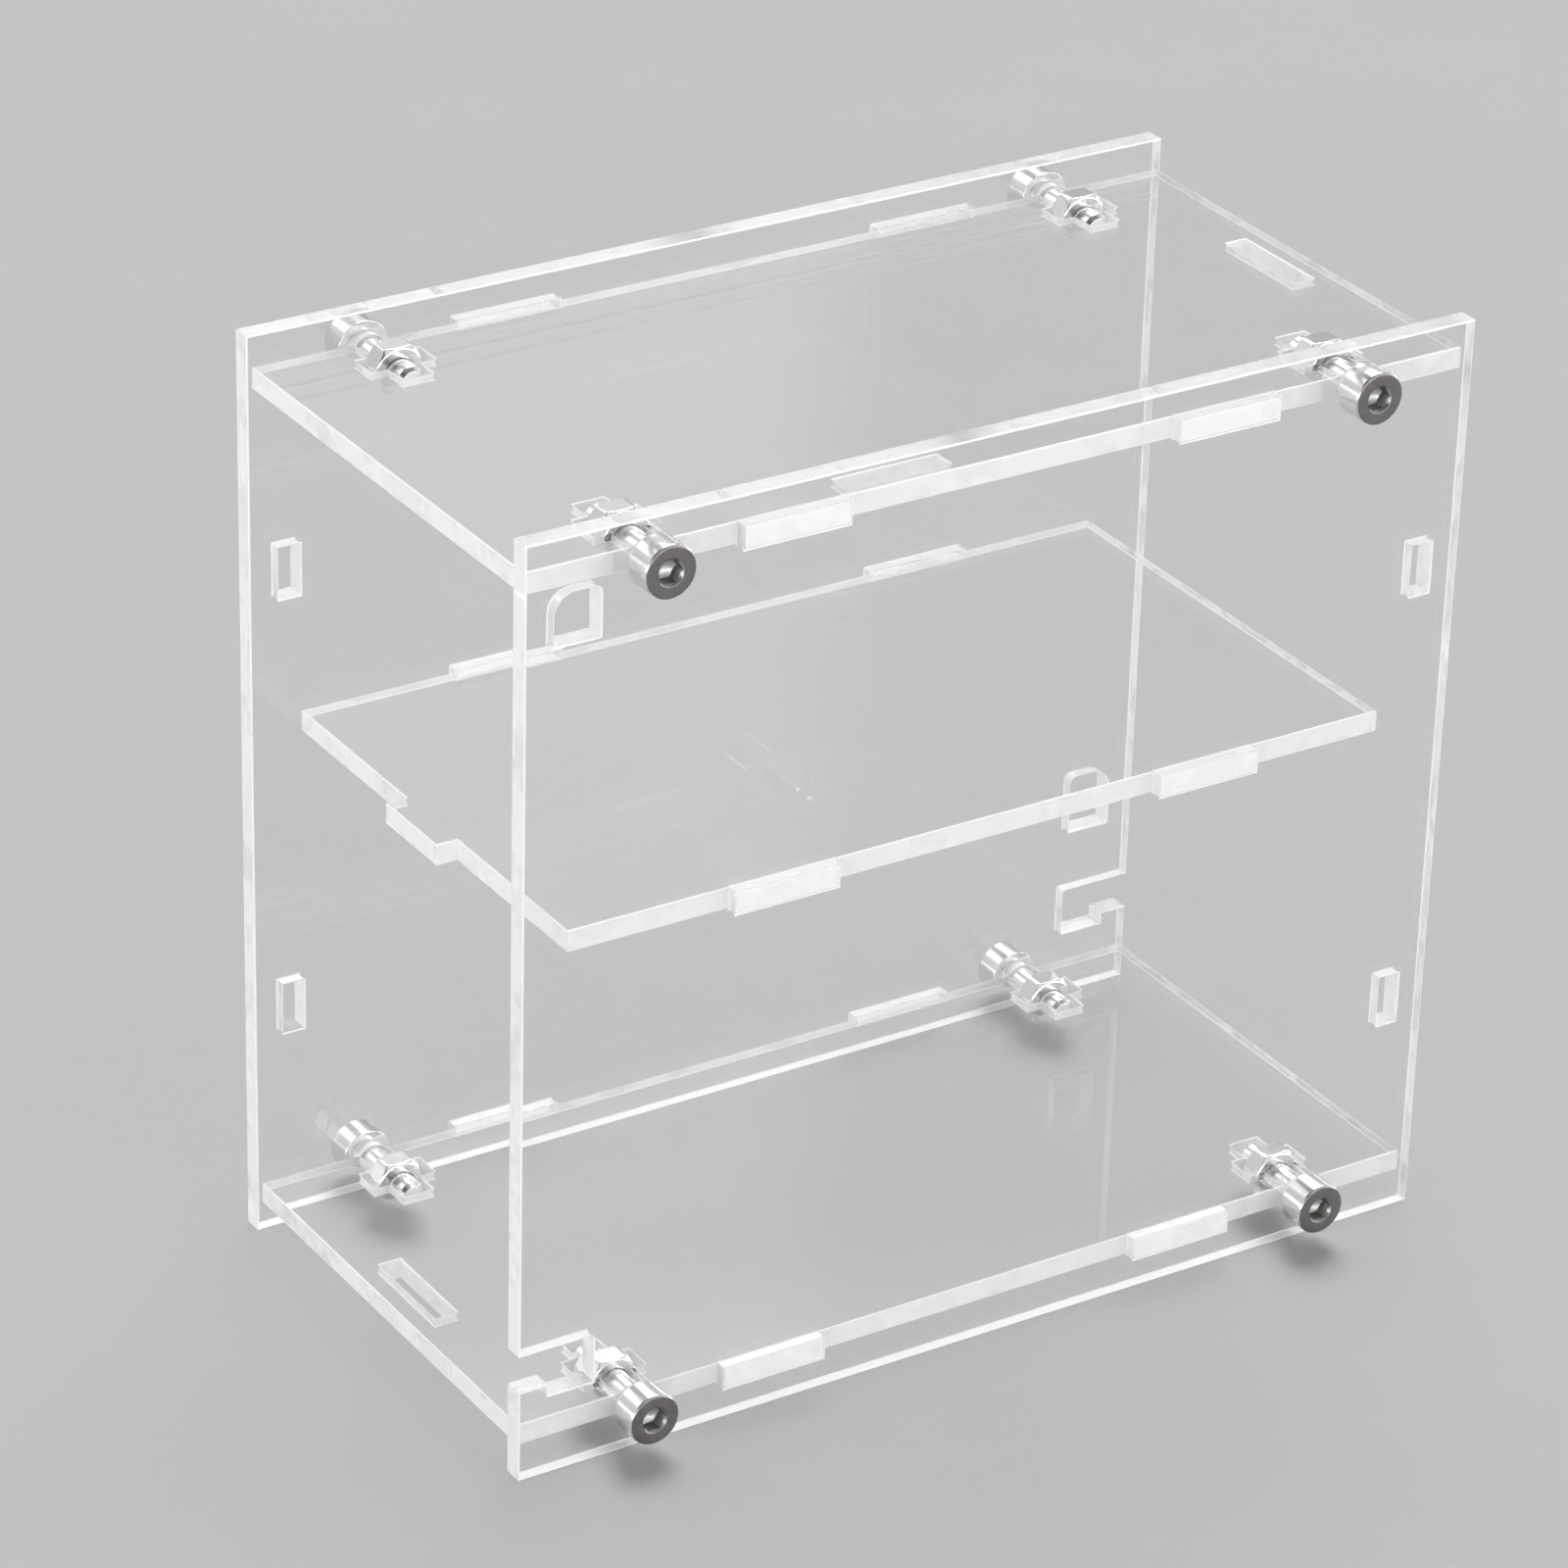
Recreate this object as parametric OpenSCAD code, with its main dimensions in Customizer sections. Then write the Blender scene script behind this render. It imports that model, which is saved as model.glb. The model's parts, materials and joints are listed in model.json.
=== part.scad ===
// Clear acrylic display case with open ends. Five laser-cut sheets lock together with tabs and slots,
// and socket-head screws in captive nuts clamp the front and back panels to the top and bottom panels.
// The front faces -Y, +Z is up, and the origin is on the floor under the middle of the case.

/* [Case] */
// Width of the case from end to end
case_w = 140; // [130:1:240]
// Height of the front and back panels
case_h = 131; // [115:1:240]
// Depth over the outer faces of the front and back panels
case_d = 73.2; // [60:0.2:160]

/* [Sheet] */
// Thickness of the clear sheet that every panel is cut from
sheet = 3; // [2:0.1:4]
// How far the front and back panels stand past the top and bottom panels
lip = 4.25; // [3:0.05:7]
// How far the ends of the top and bottom panels stand in from the ends of the case
deck_inset = 0.7; // [0.2:0.1:1]

/* [Tabs] */
// Length of a tab along its edge
tab_len = 15; // [10:0.5:18]
// Distance from the middle of the case to the middle of each tab
tab_offset = 32; // [24:0.5:36]
// Clearance between a tab and each side of its slot
tab_gap = 0.1; // [0.05:0.05:0.3]

/* [Shelf] */
// Height of the shelf's underside above the floor
shelf_z = 73.75; // [45:0.25:100]
// Distance from the right end of the case to the shelf's right edge
shelf_right = 10; // [8:0.5:40]
// Length of the tab on the shelf's left edge
shelf_tab_len = 13; // [8:0.5:20]
// Distance from the middle of the shelf, towards the front, to the middle of that tab
shelf_tab_front = 1; // [0:0.5:6]

/* [End panel slots] */
// Distance from an end of the case to the middle of the slots for an end panel
end_mid = 5.8; // [4.5:0.1:8]
// Height of an end panel's slots in the front and back panels
end_slot_h = 7.4; // [5:0.1:12]
// Height of the middle of the lower slot above the floor
end_slot_low = 33; // [22:0.5:50]
// Distance from the top of the panel down to the middle of the upper slot
end_slot_drop = 34; // [22:0.5:50]

/* [Hook end] */
// Width of the small window near the end of the front and back panels
window_w = 6.5; // [4.5:0.1:7]
// Height of the window
window_h = 6.8; // [4.5:0.1:9]
// Distance from the end of the panel to the window
window_inset = 4; // [2:0.1:5]
// Distance from the top panel's underside down to the front window
window_drop = 0.15; // [0.05:0.05:20]
// Height of the back window above the floor
back_window_z = 27.8; // [24:0.1:60]
// Radius of the window's upper corner nearer the end of the panel
window_outer_r = 3; // [0.5:0.1:3]
// Radius of the window's other upper corner
window_inner_r = 1; // [0.5:0.1:1.4]
// Distance that the hook notch runs in from the end of the panel
hook_depth = 10.9; // [8:0.1:16]
// Height of the hook notch past its sill
hook_h = 6.9; // [5:0.1:10]
// Distance from the bottom panel's upper face up to the hook notch
hook_rise = 4.25; // [2:0.05:8]
// Width of the raised sill at the mouth of the hook notch
sill_w = 4.2; // [2:0.1:6]
// Height of the raised sill
sill_h = 1.65; // [0.5:0.05:2.5]
// Radius of the hook notch's inner upper corner
hook_r = 0.5; // [0.3:0.1:2]

/* [Front slot] */
// Distance from the middle of the case, to the left, to the middle of the top panel's front slot
front_slot_left = 15.5; // [0:0.5:18]
// Width of the bridge between that slot and the top panel's front edge
front_slot_bridge = 1.6; // [1:0.1:6]

/* [Screws] */
// Distance from each end of the case to the screws
screw_inset = 17.7; // [15:0.1:20]
// Diameter of a screw's shank
screw_d = 4; // [3:0.1:5]
// Length of the shank under the head
screw_len = 14; // [10:0.5:16]
// Length of the chamfer at the shank's tip
tip_chamfer = 0.5; // [0.2:0.1:1]
// Diameter of the head
head_d = 7.2; // [6:0.1:9]
// Height of the head
head_h = 4; // [3:0.1:6]
// Radius of the head's rounded rim
rim_r = 0.4; // [0.1:0.1:0.8]
// Size of the hex socket across its flats
socket_af = 3; // [2:0.1:3.5]
// Depth of the hex socket down to its drilled cone
socket_depth = 2; // [1:0.1:2.5]
// Width of the countersink past the hex socket's corners
sink_w = 0.17; // [0.05:0.01:0.4]
// Clearance round the shank in a panel's hole
hole_gap = 0.25; // [0.1:0.05:0.5]

/* [Nuts] */
// Size of a nut across its flats
nut_af = 7; // [6.5:0.1:8]
// Thickness of a nut
nut_h = 3.2; // [2.5:0.1:4]
// Clearance between the shank and the nut's bore
thread_gap = 0.05; // [0.02:0.01:0.1]
// Clearance past each side corner of the nut in its slot
nut_gap = 0.5; // [0.1:0.05:0.8]
// Clearance behind the nut in its slot
nut_back_gap = 1; // [0.1:0.1:1.5]
// Distance from the sheet's edge to the face that the nut bears on
nut_seat = 4.5; // [3:0.1:5]
// Clearance on each side of the shank in its channel
channel_gap = 0.2; // [0.1:0.05:0.5]
// Clearance past the shank's tip in its channel
channel_end = 1.5; // [0.5:0.1:4]

/* [Hidden] */
$fn = 48;
// Overshoot of cutters past the faces that they open
cut = 1;
// Depth that a screw's shank runs into its head, so that the two are one solid
shank_root = 1;
// Colours of the sheet and of the plated steel
sheet_colour = [0.93, 0.96, 0.98, 0.35];
steel_colour = [0.72, 0.72, 0.73];
// Half angle of the cone that a drill leaves under the socket, from the face
drill_angle = 30;
// Angle of the bevel on a nut's corners
nut_bevel_angle = 30;

half_w = case_w / 2;
front_y = -case_d / 2;
inner_d = case_d - 2 * sheet;
bottom_z = lip;
top_z = case_h - lip - sheet;
slot_w = sheet + 2 * tab_gap;
slot_len = tab_len + 2 * tab_gap;
screw_x = half_w - screw_inset;
front_window_z = top_z - window_drop - window_h;
hook_z = bottom_z + sheet + hook_rise;
shelf_x = [-half_w + end_mid + sheet / 2, half_w - shelf_right];
nut_corners = nut_af / cos(30);
socket_corners = socket_af / cos(30);
sink_d = socket_corners + 2 * sink_w;

// Each screw site is its panel, its level and its side
SITES = [
    for (panel = ["front", "back"])
        for (level = ["top", "bottom"])
            for (side = ["left", "right"])
                [panel, level, side]
];
function site_name(kind, site) = str(kind, "_", site[0], "_", site[1], "_", site[2]);
function site_x(site) = site[2] == "left" ? -screw_x : screw_x;
function site_z(site) = (site[1] == "top" ? top_z : bottom_z) + sheet / 2;
function site_turn(site) = site[0] == "front" ? 0 : 180;

// Places what follows on a screw's axis: z = 0 is depth inside the panel's outer face, +z points outwards
module at_site(site, depth = 0) {
    translate([site_x(site), 0, site_z(site)])
        rotate(site_turn(site))
            translate([0, front_y + depth, 0])
                rotate([90, 0, 0])
                    children();
}

// Repeats a flat shape at both distances from the middle, along the front edge and the back edge
module along_both_edges(offset_x, edge_y) {
    for (turn = [0, 180])
        for (side = [-1, 1])
            rotate(turn)
                translate([side * offset_x, -edge_y])
                    children();
}

// Stands a flat drawing upright as a sheet whose back face is at back_y
module upright(back_y) {
    translate([0, back_y, 0])
        rotate([90, 0, 0])
            linear_extrude(sheet)
                children();
}

// Lays a flat drawing down as a sheet whose underside is at low_z
module lying(low_z) {
    translate([0, 0, low_z])
        linear_extrude(sheet)
            children();
}

// Window with a square sill and two rounded upper corners, drawn from its lower corner nearer the end
module window_shape() {
    translate([window_outer_r, 0])
        square([window_w - window_outer_r - window_inner_r, window_h]);
    square([window_outer_r, window_h - window_outer_r]);
    translate([window_w - window_inner_r, 0])
        square([window_inner_r, window_h - window_inner_r]);
    translate([window_outer_r, window_h - window_outer_r])
        circle(window_outer_r);
    translate([window_w - window_inner_r, window_h - window_inner_r])
        circle(window_inner_r);
}

// Notch open to the end of the panel, with a raised sill at its mouth, drawn from the end of the panel
module hook_shape() {
    translate([-cut, sill_h])
        square([hook_depth - hook_r + cut, hook_h - sill_h]);
    translate([sill_w, 0])
        square([hook_depth - sill_w, hook_h - hook_r]);
    translate([hook_depth - hook_r, hook_h - hook_r])
        circle(hook_r);
}

// Upright panel as seen from the front: hook end on the left, slots for an end panel on the right
module panel_shape(window_z) {
    difference() {
        translate([-half_w, 0])
            square([case_w, case_h]);
        for (low_z = [bottom_z, shelf_z, top_z])
            for (side = [-1, 1])
                translate([side * tab_offset, low_z + sheet / 2])
                    square([slot_len, slot_w], center = true);
        for (low_z = [bottom_z, top_z])
            for (side = [-1, 1])
                translate([side * screw_x, low_z + sheet / 2])
                    circle(d = screw_d + 2 * hole_gap);
        for (mid_z = [end_slot_low, case_h - end_slot_drop])
            translate([half_w - end_mid, mid_z])
                square([slot_w, end_slot_h], center = true);
        translate([-half_w + window_inset, window_z])
            window_shape();
        translate([-half_w, hook_z])
            hook_shape();
    }
}

// Tabs that pass through the front and back panels and end flush with their outer faces
module tabs_shape() {
    along_both_edges(tab_offset, case_d / 2)
        translate([-tab_len / 2, 0])
            square([tab_len, 2 * sheet]);
}

// Channel for a screw's shank, crossed by the slot that holds its nut, drawn from the sheet's edge
module tee_shape() {
    channel_w = screw_d + 2 * channel_gap;
    arm_w = nut_corners + 2 * nut_gap;
    translate([-channel_w / 2, -cut])
        square([channel_w, screw_len - sheet + channel_end + cut]);
    translate([-arm_w / 2, nut_seat])
        square([arm_w, nut_h + nut_back_gap]);
}

// Top or bottom panel with its tabs, its nut slots and one slot for an end panel
module deck_shape(end_side) {
    difference() {
        union() {
            square([case_w - 2 * deck_inset, inner_d], center = true);
            tabs_shape();
        }
        along_both_edges(screw_x, inner_d / 2)
            tee_shape();
        translate([end_side * (half_w - end_mid), 0])
            square([slot_w, slot_len], center = true);
    }
}

module front_panel() {
    color(sheet_colour)
        upright(front_y + sheet)
            panel_shape(front_window_z);
}

module back_panel() {
    color(sheet_colour)
        upright(-front_y)
            mirror([1, 0])
                panel_shape(back_window_z);
}

module top_panel() {
    color(sheet_colour)
        lying(top_z)
            difference() {
                deck_shape(1);
                translate([-front_slot_left - slot_len / 2, -inner_d / 2 + front_slot_bridge])
                    square([slot_len, slot_w]);
            }
}

module bottom_panel() {
    color(sheet_colour)
        lying(bottom_z)
            deck_shape(-1);
}

// Shelf between the front and back panels, with a tab on its left edge for an end panel
module shelf() {
    color(sheet_colour)
        lying(shelf_z) {
            translate([shelf_x[0], -inner_d / 2])
                square([shelf_x[1] - shelf_x[0], inner_d]);
            tabs_shape();
            translate([shelf_x[0] - sheet, -shelf_tab_front - shelf_tab_len / 2])
                square([2 * sheet, shelf_tab_len]);
        }
}

// Hex socket with a countersunk mouth and a drilled cone, cut down from the head's face
module socket_cutter() {
    sink_h = (sink_d - socket_af) / 2;
    cone_h = socket_af / 2 * tan(drill_angle);
    translate([0, 0, head_h - socket_depth])
        cylinder(d = socket_corners, h = socket_depth + cut, $fn = 6);
    translate([0, 0, head_h - socket_depth - cone_h])
        cylinder(d1 = 0, d2 = socket_af, h = cone_h);
    translate([0, 0, head_h - sink_h])
        cylinder(d1 = socket_af, d2 = sink_d + 2 * cut, h = sink_h + cut);
}

// Half section of the head, with a rounded rim
module head_section() {
    square([head_d / 2 - rim_r, head_h]);
    square([head_d / 2, head_h - rim_r]);
    translate([head_d / 2 - rim_r, head_h - rim_r])
        circle(rim_r);
}

// Socket-head screw on its axis, with the underside of its head at z = 0
module screw() {
    color(steel_colour)
        difference() {
            union() {
                rotate_extrude()
                    head_section();
                translate([0, 0, tip_chamfer - screw_len])
                    cylinder(d = screw_d, h = screw_len - tip_chamfer + shank_root);
                translate([0, 0, -screw_len])
                    cylinder(d1 = screw_d - 2 * tip_chamfer, d2 = screw_d, h = tip_chamfer);
            }
            socket_cutter();
        }
}

// Hex nut on its axis, with its bearing face at z = 0 and its corners bevelled at both faces
module nut() {
    bevel_h = (nut_corners - nut_af) / 2 * tan(nut_bevel_angle);
    color(steel_colour)
        difference() {
            intersection() {
                translate([0, 0, -nut_h])
                    cylinder(d = nut_corners, h = nut_h, $fn = 6);
                rotate_extrude()
                    polygon([
                        [0, 0],
                        [nut_af / 2, 0],
                        [nut_corners / 2, -bevel_h],
                        [nut_corners / 2, bevel_h - nut_h],
                        [nut_af / 2, -nut_h],
                        [0, -nut_h]
                    ]);
            }
            translate([0, 0, -nut_h - cut])
                cylinder(d = screw_d + 2 * thread_gap, h = nut_h + 2 * cut);
        }
}

front_panel();
back_panel();
top_panel();
bottom_panel();
shelf();
for (site = SITES) {
    at_site(site) screw();
    at_site(site, sheet + nut_seat) nut();
}
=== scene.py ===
import json
import math

import bmesh
import bpy
import numpy as np
from mathutils import Matrix, Vector

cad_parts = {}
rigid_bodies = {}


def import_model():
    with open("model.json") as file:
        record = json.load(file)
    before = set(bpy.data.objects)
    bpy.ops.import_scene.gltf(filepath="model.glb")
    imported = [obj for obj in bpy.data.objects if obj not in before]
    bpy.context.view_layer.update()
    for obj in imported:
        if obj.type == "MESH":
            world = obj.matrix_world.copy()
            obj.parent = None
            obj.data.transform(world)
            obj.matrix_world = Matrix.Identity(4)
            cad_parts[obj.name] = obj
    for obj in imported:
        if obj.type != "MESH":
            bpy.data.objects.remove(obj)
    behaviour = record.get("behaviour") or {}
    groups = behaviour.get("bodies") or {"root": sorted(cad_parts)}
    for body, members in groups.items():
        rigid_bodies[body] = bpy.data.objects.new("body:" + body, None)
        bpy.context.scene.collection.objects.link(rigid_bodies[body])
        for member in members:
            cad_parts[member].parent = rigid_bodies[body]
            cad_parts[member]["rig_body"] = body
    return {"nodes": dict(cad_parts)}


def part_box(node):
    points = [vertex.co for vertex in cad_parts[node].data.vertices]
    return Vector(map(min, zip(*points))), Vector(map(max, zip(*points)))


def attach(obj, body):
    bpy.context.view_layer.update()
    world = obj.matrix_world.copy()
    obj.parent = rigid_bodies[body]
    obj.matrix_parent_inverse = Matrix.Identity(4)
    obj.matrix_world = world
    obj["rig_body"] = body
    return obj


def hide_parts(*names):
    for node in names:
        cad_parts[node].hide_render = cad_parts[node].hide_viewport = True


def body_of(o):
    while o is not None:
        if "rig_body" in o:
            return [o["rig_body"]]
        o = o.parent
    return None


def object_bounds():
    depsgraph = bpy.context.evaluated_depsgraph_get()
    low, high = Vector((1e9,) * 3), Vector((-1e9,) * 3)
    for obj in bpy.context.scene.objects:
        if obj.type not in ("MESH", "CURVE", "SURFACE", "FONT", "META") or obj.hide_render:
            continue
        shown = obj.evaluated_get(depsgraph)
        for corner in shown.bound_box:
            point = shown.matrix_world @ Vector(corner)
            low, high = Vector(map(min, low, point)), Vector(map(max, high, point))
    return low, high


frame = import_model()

bl_info = {
    "name": "Acrylic Display Case",
    "version": (1, 0, 0),
    "blender": (4, 5, 0),
    "location": "3D View > Sidebar > Display Case",
    "description": "Clear sheets, plated screws and nuts, and a studio stage for an acrylic display case",
    "category": "Object",
}

MM = 0.001
CAD_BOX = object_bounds()

UPRIGHT_SHEETS = ("front_panel", "back_panel")
LYING_SHEETS = ("top_panel", "bottom_panel", "shelf")
SCREWS = tuple(name for name in frame["nodes"] if name.startswith("screw_"))
NUTS = tuple(name for name in frame["nodes"] if name.startswith("nut_"))

ACRYLIC_IOR = 1.49
# Colours in which light passes a polished face, a cut edge and a foot on its way to the floor.
FACE_FILM, EDGE_FILM, FOOT_FILM = "#FDFDFD", "#F0F0F0", "#FAFAFA"
# Noise seldom leaves the span between these two values.
NOISE_LOW, NOISE_HIGH = 0.3, 0.7
# A face looks along an axis if its normal has more than this share of it.
FACING = 0.7
# Points closer than this are one point, and a face closer than CONTACT to another sheet stands against it.
WELD = 0.001 * MM
CONTACT = 0.01 * MM
FLAT_ANGLE = math.radians(0.1)
SHARP_ANGLE = math.radians(35)
# Even steps round a screw or nut, and how far the corners of their hexagons are cut back.
ROUND_STEPS = 96
SOCKET_SOFT = 0.03 * MM
NUT_SOFT = 0.05 * MM
# Slope of the drill's point in a socket and of the bevels of a nut.
SLOPE = math.tan(math.radians(30))
# Width of a socket's drilled cone and of a nut's flat ends, as shares of the width across their flats.
DRILL_SHARE = 0.97
NUT_END_SHARE = 0.95
BORE_BEVEL = 0.2 * MM
# Light runs down an upright sheet by some thirty inner reflections before it leaves.
BOUNCES = 64
# A shadow ray passes at most some twenty faces on its way.
PASSED_FACES = 24


def linear(code):
    """Linear red, green and blue of an sRGB hex code, by the standard's two-part curve."""
    share = np.array([int(code[i : i + 2], 16) for i in (1, 3, 5)]) / 255
    return tuple(np.where(share <= 0.04045, share / 12.92, ((share + 0.055) / 1.055) ** 2.4))


# Sizes and colours that a user would change


class SheetSettings(bpy.types.PropertyGroup):
    """Clear sheets and their laser-cut edges."""

    arris: bpy.props.FloatProperty(
        name="Arris", description="Radius of the melted rounding along each cut",
        default=0.18 * MM, min=0.02 * MM, max=0.4 * MM, unit="LENGTH")
    air_gap: bpy.props.FloatProperty(
        name="Air gap", description="Film of air where one sheet's edge stands against another sheet's face",
        default=0.04 * MM, min=0.01 * MM, max=0.1 * MM, unit="LENGTH")
    tint: bpy.props.FloatVectorProperty(
        name="Tint", description="Colour that light keeps each time it passes a face",
        default=linear("#FFFFFF"), size=3, min=0, max=1, subtype="COLOR")
    edge_colour: bpy.props.FloatVectorProperty(
        name="Cut edge", description="Colour of the light that a cut edge scatters",
        default=linear("#FAFAFB"), size=3, min=0, max=1, subtype="COLOR")
    painted_light_white: bpy.props.FloatVectorProperty(
        name="Painted white light", description="White painted along each arris as a highlight and on the feet as light piped down the sheet",
        default=linear("#FEFEFE"), size=3, min=0, max=1, subtype="COLOR")
    long_edge: bpy.props.FloatVectorProperty(
        name="Long edges", description="Least and most share of light that passes a long edge unscattered",
        default=(0.02, 0.2), size=2, min=0, max=1)
    panel_end: bpy.props.FloatVectorProperty(
        name="Ends of upright panels", description="The same for the ends of the front and back panels",
        default=(0.1, 0.45), size=2, min=0, max=1)
    deck_end: bpy.props.FloatVectorProperty(
        name="Ends of lying sheets", description="The same for the ends of the top, the bottom and the shelf",
        default=(0.02, 0.5), size=2, min=0, max=1)
    top_edge: bpy.props.FloatVectorProperty(
        name="Upper edges", description="The same for the upper edges of the front and back panels",
        default=(0.72, 0.87), size=2, min=0, max=1)


class SteelSettings(bpy.types.PropertyGroup):
    """Plated screws and nuts, with the sizes that their rounded surfaces follow."""

    arris: bpy.props.FloatProperty(
        name="Arris", description="Rounding of the screws' and nuts' edges",
        default=0.08 * MM, min=0.02 * MM, max=0.15 * MM, unit="LENGTH")
    head_d: bpy.props.FloatProperty(
        name="Head width", description="Diameter of a screw's head", default=7.2 * MM, unit="LENGTH")
    head_h: bpy.props.FloatProperty(
        name="Head height", description="Height of a screw's head", default=4 * MM, unit="LENGTH")
    rim: bpy.props.FloatProperty(
        name="Rim", description="Rounding of the rim of a screw's head", default=0.4 * MM, unit="LENGTH")
    seat_gap: bpy.props.FloatProperty(
        name="Seat gap", description="Film of air under a screw's head", default=0.03 * MM, unit="LENGTH")
    shank_d: bpy.props.FloatProperty(
        name="Shank width", description="Diameter of a screw's shank", default=4 * MM, unit="LENGTH")
    tip: bpy.props.FloatProperty(
        name="Tip", description="Bevel of a shank's tip", default=0.5 * MM, unit="LENGTH")
    socket_af: bpy.props.FloatProperty(
        name="Socket", description="Width of the hex socket across its flats", default=3 * MM, unit="LENGTH")
    socket_depth: bpy.props.FloatProperty(
        name="Socket depth", description="Depth of the hex socket's walls", default=2 * MM, unit="LENGTH")
    sink: bpy.props.FloatProperty(
        name="Countersink", description="Width of the bevel outside the socket's corners",
        default=0.17 * MM, unit="LENGTH")
    nut_af: bpy.props.FloatProperty(
        name="Nut", description="Width of a nut across its flats", default=7 * MM, unit="LENGTH")
    bore_d: bpy.props.FloatProperty(
        name="Nut bore", description="Diameter of a nut's bore", default=4.1 * MM, unit="LENGTH")
    plating: bpy.props.FloatVectorProperty(
        name="Plating", description="Colour of the bright plating",
        default=linear("#EBEAE8"), size=3, min=0, max=1, subtype="COLOR")
    head_face: bpy.props.FloatVectorProperty(
        name="Head face", description="Colour of the turned face of a screw's head, painted darker for the dim floor that it mirrors",
        default=linear("#898684"), size=3, min=0, max=1, subtype="COLOR")
    shank: bpy.props.FloatVectorProperty(
        name="Shank and nut plating", description="Colour of the paler plating of the shanks and nuts",
        default=linear("#F0F0EF"), size=3, min=0, max=1, subtype="COLOR")
    dull_and_shaded: bpy.props.FloatVectorProperty(
        name="Dull plating painted dark", description="Colour of the duller plating inside the sockets, painted darker as the shade in them",
        default=linear("#AFAEAC"), size=3, min=0, max=1, subtype="COLOR")


class StageSettings(bpy.types.PropertyGroup):
    """Floor, light and camera."""

    floor: bpy.props.FloatVectorProperty(
        name="Floor", description="Colour of the grey floor and of the horizon",
        default=linear("#C0C0C1"), size=3, min=0, max=1, subtype="COLOR")
    wall: bpy.props.FloatVectorProperty(
        name="Wall", description="Colour of the pale wall round the floor",
        default=linear("#E4E4E5"), size=3, min=0, max=1, subtype="COLOR")
    floor_side: bpy.props.FloatProperty(
        name="Floor side", description="Side of the square floor", default=12, min=1, unit="LENGTH")
    floor_gap: bpy.props.FloatProperty(
        name="Floor gap", description="Film of air under the panels' lower edges",
        default=0.05 * MM, min=0, unit="LENGTH")
    aim: bpy.props.FloatVectorProperty(
        name="Aim", description="Point that the camera looks at",
        default=(-9.5 * MM, 0, 67.7 * MM), size=3, subtype="TRANSLATION", unit="LENGTH")
    distance: bpy.props.FloatProperty(
        name="Distance", description="Distance from the camera to that point",
        default=859.2 * MM, min=0.1, unit="LENGTH")
    azimuth: bpy.props.FloatProperty(
        name="Azimuth", description="Turn of the camera round the case, from straight in front",
        default=math.radians(-32.72), subtype="ANGLE")
    elevation: bpy.props.FloatProperty(
        name="Elevation", description="Angle of the camera above the horizon",
        default=math.radians(27.43), subtype="ANGLE")
    roll: bpy.props.FloatProperty(
        name="Roll", description="Turn of the camera about its line of sight",
        default=math.radians(1.63), subtype="ANGLE")
    lens: bpy.props.FloatProperty(
        name="Lens", description="Focal length in millimetres on a sensor 36 mm wide",
        default=151.1, min=10, max=400, unit="CAMERA")


# Materials


def add(tree, kind, inputs=None, **settings):
    """Add one node. settings are its properties, and inputs gives each input a value or a feeding socket."""
    made = tree.nodes.new(kind)
    for name, value in settings.items():
        setattr(made, name, value)
    for name, value in (inputs or {}).items():
        if isinstance(value, bpy.types.NodeSocket):
            tree.links.new(value, made.inputs[name])
        else:
            made.inputs[name].default_value = value
    return made


def new_material(name):
    """An empty node material: its material, tree and Object coordinates."""
    material = bpy.data.materials.new(name)
    material.use_nodes = True
    tree = material.node_tree
    tree.nodes.clear()
    return material, tree, add(tree, "ShaderNodeTexCoord").outputs["Object"]


def opaque(colour):
    """A colour with full alpha, as a colour socket takes it."""
    return (*colour, 1)


def uneven(tree, place, size, detail, least, most):
    """Noise with blotches of this size: its own height, and a value that runs from least to most with it."""
    noise = add(tree, "ShaderNodeTexNoise", {"Vector": place, "Scale": 1 / size, "Detail": detail})
    height = noise.outputs["Fac"]
    value = add(tree, "ShaderNodeMapRange", {
        "Value": height, "From Min": NOISE_LOW, "From Max": NOISE_HIGH, "To Min": least, "To Max": most})
    return height, value.outputs["Result"]


def acrylic_surface(tree, inputs, through):
    """Acrylic with these shader inputs, whose shadow and diffuse rays pass straight on in the colour through,
    so that the floor under the sheets is lit as under real ones."""
    shader = add(tree, "ShaderNodeBsdfPrincipled", {"IOR": ACRYLIC_IOR, **inputs})
    film = add(tree, "ShaderNodeBsdfTransparent", {"Color": opaque(linear(through))})
    path = add(tree, "ShaderNodeLightPath")
    surface = shader.outputs[0]
    for ray in ("Is Shadow Ray", "Is Diffuse Ray"):
        mixed = add(tree, "ShaderNodeMixShader", {0: path.outputs[ray], 1: surface, 2: film.outputs[0]})
        surface = mixed.outputs[0]
    add(tree, "ShaderNodeOutputMaterial", {"Surface": surface})


def steel_surface(tree, colour, roughness, normal):
    """Metal of this colour, with its roughness and normal."""
    shader = add(tree, "ShaderNodeBsdfPrincipled", {
        "Base Color": opaque(colour), "Metallic": 1, "Roughness": roughness, "Normal": normal})
    add(tree, "ShaderNodeOutputMaterial", {"Surface": shader.outputs[0]})


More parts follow.
